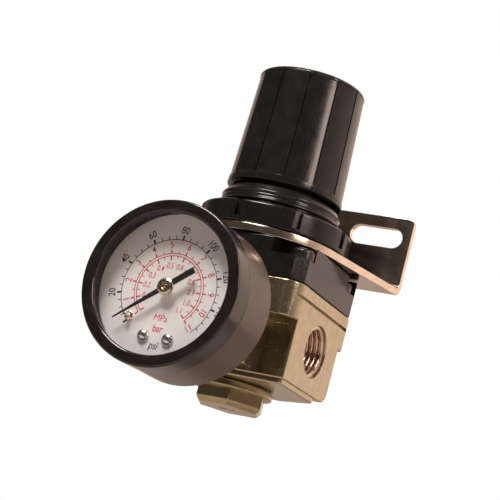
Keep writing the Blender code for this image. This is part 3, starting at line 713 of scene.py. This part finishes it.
def bolt_slot(x):
    """A round-ended slot in the upright, for one bolt."""
    z, half, radius = 40.0, 7.7, 2.75
    low, high, corner = z - radius, z + radius, radius - 0.01
    outline = rounded([(x - half, low, corner), (x + half, low, corner), (x + half, high, corner),
                       (x - half, high, corner)], steps=12)
    return prism(outline, -35, -20, "-Y")


def bracket_plate():
    """One bent strip of plated steel: a round-nosed plate about the neck and an upright with two slots."""
    back, low, top, half = plate_high.y, plate_low.z, plate_high.z, plate_high.x
    inside, thick, front, slot_x = 1.2, back - 27.0, -24, 17.3
    section = rounded([(front, low, 0), (back, low, inside + thick), (back, top, 0),
                       (back - thick, top, 0), (back - thick, low + thick, inside),
                       (front, low + thick, 0)], steps=12)
    strip = working(prism(section, -half - 1, half + 1, "X"))
    common(strip, prism(bracket_plan(half, back), low - 1, top + 1))
    face = rounded([(-half, 0, 0), (half, 0, 0), (half, top, 1.6), (-half, top, 1.6)], steps=12)
    common(strip, prism(face, -40, 40, "-Y"))
    cut(strip, drum(16.8, 20, 30))
    for side in (-1, 1):
        cut(strip, bolt_slot(side * slot_x))
    softened(strip, 0.22, 2, 40)
    piece("bracket_plate", strip, ZINC, "housing", ["mounting_bracket"])


def panel_nut():
    """The ring nut, with scalloped grips that stop short of its lower rim."""
    outer, inner, low, high, grips = 20.4, 16.62, nut_low.z, nut_high.z, 8
    profile = rounded([(outer, low, 0.4), (outer, high, 0.7), (inner + 0.9, high, 0.3),
                       (inner, high - 0.9, 0), (inner, low, 0)], steps=5)
    nut = working(lathe(profile, ring=True, steps=192))
    for k in range(grips):
        outline = rounded([(outer - 1.2, -1.0, 0.2), (outer + 1.5, -1.1, 0), (outer + 1.5, 1.1, 0),
                           (outer - 1.4, 1.0, 0.2)], steps=4)
        cut(nut, moved(prism(outline, low + 1.1, high + 1), turn=360 / grips * k))
    nut.data.transform(Matrix.Rotation(math.radians(-5), 4, "Z"))
    piece("panel_nut", nut, RESIN, "housing", ["setting_nut"])


def knob_stations(panels, first):
    """Points around the knob: degrees, millimetres further along, and share of the groove's depth."""
    pitch, between = 360 / panels, 12
    stations = []
    for k in range(panels):
        groove = first + pitch * k
        stations += [(groove, shift, deep) for shift, deep in ((-0.28, 0), (-0.2, 1), (0.2, 1), (0.28, 0))]
        stations += [(groove + pitch * (0.06 + 0.88 * n / between), 0, 0) for n in range(between + 1)]
    return stations


def grip_knob():
    """A deep tapered cap: twelve slightly flattened panels between narrow grooves, over a plain rim."""
    bottom, top, foot, head = knob_low.z, knob_high.z, knob_high.x, 14.5
    panels, first, rim, depth, corner, flatness = 12, -69.5, 1.8, 0.45, 1.2, 0.35
    wall, roof, stem, stem_foot = 1.7, top - 3.5, 5.2, 50.0
    half_panel = 180 / panels
    stations = knob_stations(panels, first)

    def ring(radius, height, grooved=0.0, flat=0.0):
        points = []
        for angle, shift, deep in stations:
            a = math.radians(angle) + shift / head
            from_middle = (math.degrees(a) - first) % (2 * half_panel) - half_panel
            chord = math.cos(math.radians(half_panel)) / math.cos(math.radians(from_middle))
            r = radius * (1 - flat * (1 - chord)) - depth * deep * grooved
            points.append((r * math.cos(a), r * math.sin(a), height))
        return points

    def side(z):
        return foot + (head - foot) * (z - bottom) / (top - corner - bottom)

    rings = [[(0, 0, top)]]
    for n in range(7):
        a = math.pi / 2 * n / 6
        rings.append(ring(head - corner + corner * math.sin(a), top - corner + corner * math.cos(a),
                          min(1, n / 3), flatness if n == 6 else 0.0))
    grip_top, grip_low = top - corner - 0.25, bottom + rim
    for n in range(9):
        z = grip_top + (grip_low + 0.3 - grip_top) * n / 8
        rings.append(ring(side(z) - 0.12, z, 1, flatness))
    rings += [ring(side(grip_low) - 0.12, grip_low + 0.08, 1, flatness),
              ring(side(grip_low) - 0.06, grip_low),
              ring(side(grip_low), grip_low - 0.08),
              ring(foot - 0.03, bottom + 0.35),
              ring(foot - 0.12, bottom + 0.1),
              ring(foot - 0.35, bottom),
              ring(foot - 1.5, bottom),
              ring(foot - wall, bottom + 0.3),
              ring(head - wall, roof),
              ring(stem, roof),
              ring(stem, stem_foot + 0.2),
              ring(stem - 0.2, stem_foot),
              [(0, 0, stem_foot)]]
    cap = working(lofted(rings))
    spindle_socket = prism(polygon(6, 3.55), stem_foot - 1, 66)
    cut(cap, spindle_socket)
    piece("grip_knob", cap, KNOB, "knob", ["knob"], sharp=28)


# ---------------------------------------------------------------- gauge

def gauge_case():
    """The cup behind the dial, closed at the back around its socket."""
    outer, back, seam = case_high.x, -case_high.y, -case_low.y
    inner, neck = outer - 1.2, 5.6
    profile = rounded([(outer, seam, 0.25), (outer, back + 0.9, 0), (outer - 2.6, back, 1.4),
                       (neck, back, 0.2), (neck, back + 1.5, 0.1), (inner - 1.5, back + 1.5, 0.5),
                       (inner, back + 3, 0.5), (inner, seam, 0.1)], steps=6)
    case = lathe(profile, "-Y", ring=True, steps=192)
    piece("gauge_case_shell", case, ENAMEL, "housing", ["gauge_case"])


def gauge_ring():
    """The rounded front ring that holds the window."""
    outer, front, back = bezel_high.x, -bezel_low.y, -bezel_high.y
    opening, inner, ledge = 17.35, 19.0, front - 1.35
    profile = rounded([(outer, back, 0.3), (outer, front - 0.1, 0.55), (opening + 1.7, front, 0.5),
                       (opening, front - 0.05, 0.75), (opening + 0.1, ledge, 0.1), (inner, ledge, 0.1),
                       (inner, back, 0.1)], steps=8)
    ring = lathe(profile, "-Y", ring=True, steps=192)
    piece("gauge_ring", ring, GLOSS, "housing", ["gauge_bezel"])


def gauge_window():
    """The window and the gasket around it."""
    radius, front, back = 18.7, -lens_low.y, -lens_high.y
    profile = rounded_profile([(0, front, 0), (radius, front, 0.15), (radius, back, 0.15), (0, back, 0)])
    pane = lathe(profile, "-Y", steps=160)
    piece("gauge_window", pane, GLASS, "housing", ["gauge_lens"])
    inner, top, bottom = radius - 0.25, -gasket_low.y, -gasket_high.y
    profile = rounded([(radius, top, 0.05), (radius, bottom, 0.05), (inner, bottom, 0.1),
                       (inner, top, 0.1)], steps=4)
    seal = lathe(profile, "-Y", ring=True, steps=160)
    piece("window_gasket", seal, RUBBER, "housing", ["lens_gasket"])


def clock(radius, angle):
    """X and Z at a clockwise angle from up, seen from the front."""
    a = math.radians(angle)
    return radius * math.sin(a), radius * math.cos(a)


def reading_angle(bar):
    """Where a pressure stands on the dial, in degrees clockwise from up."""
    return DIAL_START + DIAL_SWEEP * bar / DIAL_BAR


def printed(outline):
    """Ink of the given outline, raised a little from the dial."""
    return moved(prism(outline, INK_LOW, INK_LOW + INK_THICK, "-Y"), (0, 0, PRINT_DROP))


def dial_tick(angle, inner, outer, width):
    """A printed mark along a radius."""
    across, along = clock(1, angle + 90), clock(1, angle)
    corners = ((inner, -width / 2), (inner, width / 2), (outer, width / 2), (outer, -width / 2))
    return printed([(along[0] * r + across[0] * w, along[1] * r + across[1] * w) for r, w in corners])


def dial_arc(radius, width):
    """A printed arc from the scale's start to its end."""
    count, start, end = 120, reading_angle(0), reading_angle(DIAL_BAR)
    angles = [start + (end - start) * k / count for k in range(count + 1)]
    outline = [clock(radius - width / 2, a) for a in angles]
    outline += [clock(radius + width / 2, a) for a in reversed(angles)]
    return printed(outline)


def dial_text(words, size, at, turn, squeeze=0.82, slant=0.0, bold=0.006):
    """Lettering as a thin solid that faces the reader."""
    curve = bpy.data.curves.new("lettering", "FONT")
    curve.body, curve.size, curve.shear = words, size, slant
    curve.align_x, curve.align_y = "CENTER", "CENTER"
    curve.extrude = INK_THICK / 2
    curve.offset = bold * size
    curve.resolution_u = 3
    obj = bpy.data.objects.new("lettering", curve)
    scene.collection.objects.link(obj)
    bpy.context.view_layer.update()
    mesh = bpy.data.meshes.new_from_object(obj.evaluated_get(bpy.context.evaluated_depsgraph_get()))
    bpy.data.objects.remove(obj)
    bm = bmesh.new()
    bm.from_mesh(mesh)
    bmesh.ops.remove_doubles(bm, verts=bm.verts, dist=1e-5)
    xs = [v.co.x for v in bm.verts]
    ys = [v.co.y for v in bm.verts]
    moved(bm, (-(min(xs) + max(xs)) / 2, -(min(ys) + max(ys)) / 2, 0))
    bmesh.ops.scale(bm, vec=(squeeze, 1, 1), verts=bm.verts)
    moved(bm, (at[0], at[1] + PRINT_DROP, INK_LOW + INK_THICK / 2), turn=-turn)
    return facing(bm, "-Y")


def dial_plate():
    """The pale plate behind the pointer, with holes for its spindle, screws and pin."""
    face, back, edge, hole = DIAL_FACE, -dial_high.y, dial_high.x, 0.9
    profile = rounded([(edge, face, 0.1), (edge, back, 0.1), (hole, back, 0), (hole, face, 0)], steps=3)
    plate = working(lathe(profile, "-Y", ring=True, steps=160))
    for name, radius in (("dial_screw_left", 1.0), ("dial_screw_right", 1.0), ("stop_pin", 0.6)):
        x, _, z = (middle(name) - CROSSING) / MM
        cut(plate, moved(drum(radius, 46, 49, "-Y", 32), (x, 0, z)))
    piece("dial_plate", plate, DIAL, "housing", ["gauge_dial"])


def black_print():
    """The outer scale, in psi."""
    ring, numbers, last, step, labelled = 12.5, 15.0, 155, 5, 20
    shells = [dial_arc(ring, 0.17)]
    for psi in range(0, last + 1, step):
        major = psi % labelled == 0
        angle = reading_angle(psi / PSI_PER_BAR)
        length, width = (1.15, 0.46) if major else (0.85, 0.2)
        shells.append(dial_tick(angle, ring, ring + length, width))
        if major and psi:
            shells.append(dial_text(str(psi), 2.55, clock(numbers, angle), angle))
    shells.append(dial_text("psi", 2.6, (0, -14.1), 0, slant=0.2))
    piece("dial_print_black", welded(shells), INK, "housing")


def red_print():
    """The two inner scales, bar outwards and MPa inwards from a pair of arcs."""
    bar_ring, mpa_ring, bar_numbers, mpa_numbers = 9.05, 8.45, 11.25, 6.05
    shells = [dial_arc(ring, 0.2) for ring in (bar_ring, mpa_ring)]
    for half in range(0, 2 * int(DIAL_BAR) + 1):
        bar = half / 2
        major = half % 2 == 0
        angle = reading_angle(bar)
        width, outward, inward = (0.33, 0.95, 1.15) if major else (0.18, 0.7, 0.8)
        shells.append(dial_tick(angle, bar_ring, bar_ring + outward, width))
        shells.append(dial_tick(angle, mpa_ring - inward, mpa_ring, width))
        if major and half:
            shells.append(dial_text(f"{bar:.0f}", 2.4, clock(bar_numbers, angle), angle))
            shells.append(dial_text(f"{bar / 10:.1f}", 2.05, clock(mpa_numbers, angle), 0, squeeze=0.76,
                                    slant=0.15))
    shells.append(dial_text("MPa", 2.4, (0, -7.0), 0, squeeze=0.92, slant=0.1, bold=0))
    shells.append(dial_text("bar", 2.5, (0, -9.6), 0, slant=0.1))
    piece("dial_print_red", welded(shells), RED_INK, "housing")


def dial_screws():
    """Two domed screws that hold the dial."""
    head, shank, steps = 1.62, 0.75, 10
    for side, node in (("left", "dial_screw_left"), ("right", "dial_screw_right")):
        low, high = span(node)
        top, seat = -low.y, DIAL_FACE + 0.02
        angles = [math.pi / 2 * n / steps for n in range(steps + 1)]
        profile = [(head * math.sin(a), seat + (top - seat) * math.cos(a)) for a in angles]
        profile += [(shank, seat), (shank, -high.y), (0, -high.y)]
        screw = working(lathe(profile, "-Y", steps=64))
        cut(screw, moved(block((-2, -top - 1, -0.2), (2, -top + 0.35, 0.2)), turn=25, axis="Y"))
        screw.data.transform(Matrix.Translation(((low.x + high.x) / 2, 0, (low.z + high.z) / 2)))
        piece(f"dial_screw_{side}_head", screw, STEEL, "housing", [node])


def rest_pin():
    """The collared pin that stops the pointer."""
    low, high = span("stop_pin")
    radius, collar, face = 0.46, 1.1, DIAL_FACE
    profile = rounded_profile([(0, -low.y, 0), (radius, -low.y, 0.25), (radius, face + 0.45, 0.1),
                               (collar, face + 0.3, 0.2), (collar + 0.05, face + 0.02, 0),
                               (radius - 0.01, face, 0), (radius - 0.01, -high.y, 0), (0, -high.y, 0)])
    pin = lathe(profile, "-Y", steps=48)
    place = ((low.x + high.x) / 2, 0, (low.z + high.z) / 2)
    piece("rest_pin", moved(pin, place), PIN, "housing", ["stop_pin"], sharp=50)


def gauge_pointer():
    """A black blade with a square tail on a brass hub."""
    low, high = span("pointer")
    top, foot, blade_low, blade_high = -low.y, -high.y, 49.5, 49.85
    tail, tip = -8.1, 15.1
    outline = rounded([(-0.78, tail, 0.12), (0.78, tail, 0.12), (0.72, -1.0, 0), (0.62, 2.0, 0),
                       (0.14, tip, 0.05), (-0.14, tip, 0.05), (-0.62, 2.0, 0), (-0.72, -1.0, 0)], steps=4)
    blade = as_bmesh(softened(prism(outline, blade_low, blade_high), 0.08, 2))
    blade = facing(moved(blade, turn=-POINTER_ANGLE), "-Y")
    piece("pointer_blade", blade, BLADE, "pointer", ["pointer"])
    over, under = blade_high + 0.02, blade_low - 0.02
    profile = rounded_profile([(0, top - 0.05, 0), (0.4, top - 0.05, 0.1), (0.45, top - 0.3, 0.05),
                               (0.75, top - 0.3, 0.05), (0.85, top - 0.1, 0.05), (1.55, top - 0.15, 0.1),
                               (2.05, top - 0.4, 0.15), (2.1, over, 0), (0.6, over, 0), (0.6, under, 0),
                               (2.0, under, 0), (2.0, foot + 0.05, 0.1), (0.55, foot, 0), (0, foot, 0)])
    hub = lathe(profile, "-Y", steps=96)
    piece("pointer_hub", hub, BRASS, "pointer", sharp=30)


def inner_parts():
    """The hidden parts keep their CAD shapes, with finished surfaces."""
    looks = {"adjusting_screw": STEEL, "thrust_washer": BRASS, "adjusting_nut": BRASS,
             "regulating_spring": STEEL, "diaphragm": RUBBER, "diaphragm_plate": ZINC,
             "diaphragm_stud": BRASS, "valve_poppet": BRASS, "valve_seal": RUBBER, "valve_spring": STEEL,
             "guide_o_ring": RUBBER, "stem_o_ring": RUBBER, "pinion_shaft": STEEL, "sector_gear": BRASS,
             "link": STEEL, "back_movement_plate": BRASS, "front_movement_plate": BRASS,
             "bourdon_tube": BRASS, "gauge_socket": BRASS}
    for name, look in looks.items():
        node = frame["nodes"][name]
        node.data.materials.clear()
        node.data.materials.append(look)


# ---------------------------------------------------------------- setting

def direction(azimuth, elevation):
    """From the regulator outwards. Azimuth 0 is in front of it and 90 at its right; both are degrees."""
    a, e = math.radians(azimuth), math.radians(elevation)
    return Vector((math.sin(a) * math.cos(e), -math.cos(a) * math.cos(e), math.sin(e)))


def camera():
    """A long lens, low and a little to the right, rolled so that the regulator leans in its view."""
    azimuth, elevation, roll = 26.4, -12.22, math.radians(14.99)
    distance, across, up_shift, lens = 444.03, 1.05, 23.38, 122.4
    back = direction(azimuth, elevation)
    level = Vector((math.cos(math.radians(azimuth)), math.sin(math.radians(azimuth)), 0))
    upright = back.cross(level)
    right = level * math.cos(roll) + upright * math.sin(roll)
    up = upright * math.cos(roll) - level * math.sin(roll)
    data = bpy.data.cameras.new("camera")
    data.lens, data.sensor_width = lens, 36.0
    data.clip_start, data.clip_end = 0.01, 20
    made = bpy.data.objects.new("camera", data)
    place = CROSSING + (back * distance + right * across + up * up_shift) * MM
    made.matrix_world = Matrix.Translation(place) @ Matrix((right, up, back)).transposed().to_4x4()
    scene.collection.objects.link(made)
    scene.camera = made


def soft_light(name, azimuth, elevation, distance, size, power, colour):
    """A rectangular light that looks at the regulator. Its distance and size are metres."""
    aim = CROSSING + Vector((0, -0.01, 0.025))
    away = direction(azimuth, elevation)
    data = bpy.data.lights.new(name, "AREA")
    data.shape, data.size, data.size_y = "RECTANGLE", size[0], size[1]
    data.energy, data.color = power, colour
    made = bpy.data.objects.new(name, data)
    made.location = aim + away * distance
    made.rotation_euler = away.to_track_quat("Z", "Y").to_euler()
    scene.collection.objects.link(made)


def world():
    """White behind the camera's view; for light and reflections, bright at the back and dim in front."""
    dim, bright, towards_back = (0.045, 0.038, 0.036), (1.15, 0.87, 0.73), (0.25, 0.968, 0.0)
    made = bpy.data.worlds.new("studio")
    made.use_nodes = True
    tree = made.node_tree
    tree.nodes.clear()
    along = tree.nodes.new("ShaderNodeVectorMath")
    along.operation = "DOT_PRODUCT"
    tree.links.new(add(tree, "TexCoord").outputs["Generated"], along.inputs[0])
    along.inputs[1].default_value = towards_back
    share = spread(tree, along.outputs["Value"], 0.0, 1.0, -0.05, 0.85)
    around = add(tree, "Background", Color=blended(tree, share, dim, bright), Strength=1.0)
    seen = add(tree, "Background", Color=(1, 1, 1, 1), Strength=1.0)
    mix = add(tree, "MixShader", Fac=add(tree, "LightPath").outputs["Is Camera Ray"])
    tree.links.new(around.outputs["Background"], mix.inputs[1])
    tree.links.new(seen.outputs["Background"], mix.inputs[2])
    output = add(tree, "OutputWorld")
    tree.links.new(mix.outputs["Shader"], output.inputs["Surface"])
    scene.world = made


def floor_disc():
    """A wide disc well under the regulator, since the camera looks up from below its foot."""
    radius, top, bottom = 900, -74, -80
    disc = working(prism(polygon(64, radius), bottom, top))
    disc.name = "floor"
    disc.data.transform(Matrix.Translation(CROSSING) @ Matrix.Scale(MM, 4))
    disc.data.materials.append(PALE_FLOOR)


body_casting()
port_threads()
bonnet_cover()
bonnet_screws()
bracket_plate()
panel_nut()
grip_knob()
bottom_plug()
rear_plug()
gauge_case()
gauge_ring()
gauge_window()
dial_plate()
black_print()
red_print()
dial_screws()
rest_pin()
gauge_pointer()
inner_parts()
floor_disc()
soft_light("strip", 68, 31, 0.6, (0.17, 0.32), 1.75, (1.0, 0.80, 0.72))
soft_light("overhead", -16, 54, 0.7, (0.28, 0.22), 6.3, (1.0, 0.95, 0.92))
world()
scene.view_settings.view_transform = "Standard"
camera()
